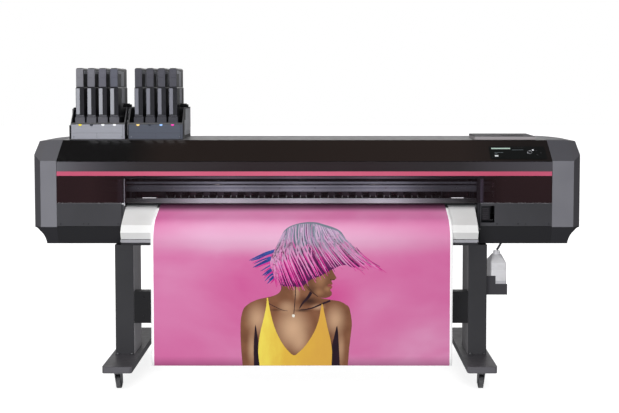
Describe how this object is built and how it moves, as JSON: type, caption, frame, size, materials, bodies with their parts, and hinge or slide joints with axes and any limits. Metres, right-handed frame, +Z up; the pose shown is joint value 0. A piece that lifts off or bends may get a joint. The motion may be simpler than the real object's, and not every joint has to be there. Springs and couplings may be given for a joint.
{
  "type": "roll-fed inkjet printer",
  "caption": "Wide-format roll-fed inkjet printer for sign vinyl, on a wheeled stand, with moving carriage, lifting front cover, ink cartridges and a media roll.",
  "frame": {"origin": "middle of the whole printer on the floor", "axes": "+X to the right, -Y to the front where prints come out, +Z up"},
  "size_m": [2.862, 0.885, 1.625],
  "materials": {
    "cap": "satin moulded plastic",
    "lower_cover": "fine-textured moulded plastic",
    "top_grey": "satin paint",
    "gloss_black": "polished",
    "band": "satin",
    "stripe": "pink, glossy",
    "smoked_window": "smoked acrylic",
    "screen": "glossy touch panel",
    "dark_steel": "black coated steel",
    "steel": "ground steel",
    "aluminium": "anodised",
    "apron": "light grey paint",
    "rubber": "matt",
    "black_plastic": "satin",
    "ink_housing": "fine texture",
    "cartridge": "satin",
    "bottle": "translucent white",
    "tube": "flexible hose",
    "media": "printed white vinyl",
    "roll": "white vinyl",
    "leg": "dark grey powder coat",
    "foot": "dark grey powder coat",
    "caster_steel": "zinc plate",
    "caster_rubber": "matt"
  },
  "bodies": {
    "printer": {"left_end_cap": "cap", "right_end_cap": "cap", "left_lower_cover": "lower_cover", "right_lower_cover": "lower_cover", "gloss_top_panel": "gloss_black", "top_cover": "top_grey", "rear_cover": "lower_cover", "operation_panel": "screen", "left_side_frame": "dark_steel", "right_side_frame": "dark_steel", "base_frame": "dark_steel", "platen": "aluminium", "rear_paper_guide": "apron", "front_apron": "apron", "front_guide_bar": "steel", "media_sheet": "media", "roll_cradle": "dark_steel", "guide_rail": "steel", "timing_belt": "rubber", "left_ink_housing": "ink_housing", "right_ink_housing": "ink_housing", "bottle_bracket": "black_plastic", "waste_tube": "tube", "left_leg": "leg", "right_leg": "leg", "left_foot": "foot", "right_foot": "foot", "stay_beam": "leg"},
    "front_cover": {"front_cover_frame": "band", "accent_stripe": "stripe", "front_window": "smoked_window"},
    "hatch": {"service_hatch": "top_grey"},
    "carriage": {"carriage": "black_plastic", "print_head_block": "steel"},
    "drive_pulley": {"drive_pulley": "aluminium"},
    "idler_pulley": {"idler_pulley": "aluminium"},
    "grit_roller": {"grit_roller": "steel"},
    "pinch_lift": {"pinch_arm_bar": "dark_steel"},
    "pinch_rollers": {"pinch_rollers": "rubber"},
    "capping_station": {"capping_station": "black_plastic"},
    "loading_lever": {"loading_lever": "black_plastic"},
    "power_button": {"power_button": "black_plastic"},
    "waste_bottle": {"waste_bottle": "bottle"},
    "media_roll": {"media_roll": "roll"},
    "cartridge_1": {"ink_cartridge_1": "cartridge"},
    "cartridge_2": {"ink_cartridge_2": "cartridge"},
    "cartridge_3": {"ink_cartridge_3": "cartridge"},
    "cartridge_4": {"ink_cartridge_4": "cartridge"},
    "cartridge_5": {"ink_cartridge_5": "cartridge"},
    "cartridge_6": {"ink_cartridge_6": "cartridge"},
    "cartridge_7": {"ink_cartridge_7": "cartridge"},
    "cartridge_8": {"ink_cartridge_8": "cartridge"},
    "left_front_fork": {"left_front_caster_fork": "caster_steel"},
    "left_front_wheel": {"left_front_caster_wheel": "caster_rubber"},
    "left_rear_fork": {"left_rear_caster_fork": "caster_steel"},
    "left_rear_wheel": {"left_rear_caster_wheel": "caster_rubber"},
    "right_front_fork": {"right_front_caster_fork": "caster_steel"},
    "right_front_wheel": {"right_front_caster_wheel": "caster_rubber"},
    "right_rear_fork": {"right_rear_caster_fork": "caster_steel"},
    "right_rear_wheel": {"right_rear_caster_wheel": "caster_rubber"}
  },
  "joints": [
    {"name": "front_cover_hinge", "type": "hinge", "parent": "printer", "child": "front_cover", "pos_m": [0, -0.2145, 1.133], "axis": [-1, 0, 0], "range_deg": [0, 80]},
    {"name": "service_hatch_hinge", "type": "hinge", "parent": "printer", "child": "hatch", "pos_m": [1.058, 0.122, 1.2462], "axis": [-1, 0, 0], "range_deg": [0, 75]},
    {"name": "carriage_slide", "type": "slide", "parent": "printer", "child": "carriage", "axis": [1, 0, 0], "range_m": [-2.15, 0.04]},
    {"name": "drive_pulley_spin", "type": "hinge", "parent": "printer", "child": "drive_pulley", "pos_m": [1.232, -0.046, 1.035], "axis": [0, 1, 0], "continuous": true},
    {"name": "idler_pulley_spin", "type": "hinge", "parent": "printer", "child": "idler_pulley", "pos_m": [-1.262, -0.046, 1.035], "axis": [0, 1, 0], "continuous": true},
    {"name": "grit_roller_spin", "type": "hinge", "parent": "printer", "child": "grit_roller", "pos_m": [0, 0.01, 0.893], "axis": [1, 0, 0], "continuous": true},
    {"name": "pinch_lift_hinge", "type": "hinge", "parent": "printer", "child": "pinch_lift", "pos_m": [0, 0.048, 0.975], "axis": [-1, 0, 0], "range_deg": [0, 6]},
    {"name": "pinch_roller_spin", "type": "hinge", "parent": "pinch_lift", "child": "pinch_rollers", "pos_m": [0, 0.01, 0.9216], "axis": [1, 0, 0], "continuous": true},
    {"name": "loading_lever_hinge", "type": "hinge", "parent": "printer", "child": "loading_lever", "pos_m": [0.93, -0.196, 0.826], "axis": [1, 0, 0], "range_deg": [0, 35]},
    {"name": "capping_slide", "type": "slide", "parent": "printer", "child": "capping_station", "axis": [0, 0, 1], "range_m": [0, 0.0115]},
    {"name": "power_button_press", "type": "slide", "parent": "printer", "child": "power_button", "axis": [0, 0.6228, -0.7824], "range_m": [0, 0.0012], "stiffness_N_per_m": 600},
    {"name": "cartridge_1_lift", "type": "slide", "parent": "printer", "child": "cartridge_1", "axis": [0, 0, 1], "range_m": [0, 0.28]},
    {"name": "cartridge_2_lift", "type": "slide", "parent": "printer", "child": "cartridge_2", "axis": [0, 0, 1], "range_m": [0, 0.28]},
    {"name": "cartridge_3_lift", "type": "slide", "parent": "printer", "child": "cartridge_3", "axis": [0, 0, 1], "range_m": [0, 0.28]},
    {"name": "cartridge_4_lift", "type": "slide", "parent": "printer", "child": "cartridge_4", "axis": [0, 0, 1], "range_m": [0, 0.28]},
    {"name": "cartridge_5_lift", "type": "slide", "parent": "printer", "child": "cartridge_5", "axis": [0, 0, 1], "range_m": [0, 0.28]},
    {"name": "cartridge_6_lift", "type": "slide", "parent": "printer", "child": "cartridge_6", "axis": [0, 0, 1], "range_m": [0, 0.28]},
    {"name": "cartridge_7_lift", "type": "slide", "parent": "printer", "child": "cartridge_7", "axis": [0, 0, 1], "range_m": [0, 0.28]},
    {"name": "cartridge_8_lift", "type": "slide", "parent": "printer", "child": "cartridge_8", "axis": [0, 0, 1], "range_m": [0, 0.28]},
    {"name": "waste_bottle_slide", "type": "slide", "parent": "printer", "child": "waste_bottle", "axis": [1, 0, 0], "range_m": [0, 0.12]},
    {"name": "media_roll_spin", "type": "hinge", "parent": "printer", "child": "media_roll", "pos_m": [0, 0.352, 0.68], "axis": [1, 0, 0], "continuous": true},
    {"name": "left_front_caster_swivel", "type": "hinge", "parent": "printer", "child": "left_front_fork", "pos_m": [-0.949, -0.407, 0.09], "axis": [0, 0, 1], "continuous": true},
    {"name": "left_front_wheel_spin", "type": "hinge", "parent": "left_front_fork", "child": "left_front_wheel", "pos_m": [-0.949, -0.382, 0.031], "axis": [1, 0, 0], "continuous": true},
    {"name": "left_rear_caster_swivel", "type": "hinge", "parent": "printer", "child": "left_rear_fork", "pos_m": [-0.949, 0.237, 0.09], "axis": [0, 0, 1], "continuous": true},
    {"name": "left_rear_wheel_spin", "type": "hinge", "parent": "left_rear_fork", "child": "left_rear_wheel", "pos_m": [-0.949, 0.262, 0.031], "axis": [1, 0, 0], "continuous": true},
    {"name": "right_front_caster_swivel", "type": "hinge", "parent": "printer", "child": "right_front_fork", "pos_m": [0.881, -0.407, 0.09], "axis": [0, 0, 1], "continuous": true},
    {"name": "right_front_wheel_spin", "type": "hinge", "parent": "right_front_fork", "child": "right_front_wheel", "pos_m": [0.881, -0.382, 0.031], "axis": [1, 0, 0], "continuous": true},
    {"name": "right_rear_caster_swivel", "type": "hinge", "parent": "printer", "child": "right_rear_fork", "pos_m": [0.881, 0.237, 0.09], "axis": [0, 0, 1], "continuous": true},
    {"name": "right_rear_wheel_spin", "type": "hinge", "parent": "right_rear_fork", "child": "right_rear_wheel", "pos_m": [0.881, 0.262, 0.031], "axis": [1, 0, 0], "continuous": true}
  ],
  "couplings": [
    {"joint": "drive_pulley_spin", "follows": "carriage_slide", "rad_per_m": 64.935},
    {"joint": "idler_pulley_spin", "follows": "carriage_slide", "rad_per_m": 64.935},
    {"joint": "pinch_roller_spin", "follows": "grit_roller_spin", "ratio": -0.8},
    {"joint": "pinch_lift_hinge", "follows": "loading_lever_hinge", "ratio": 0.17143}
  ]
}
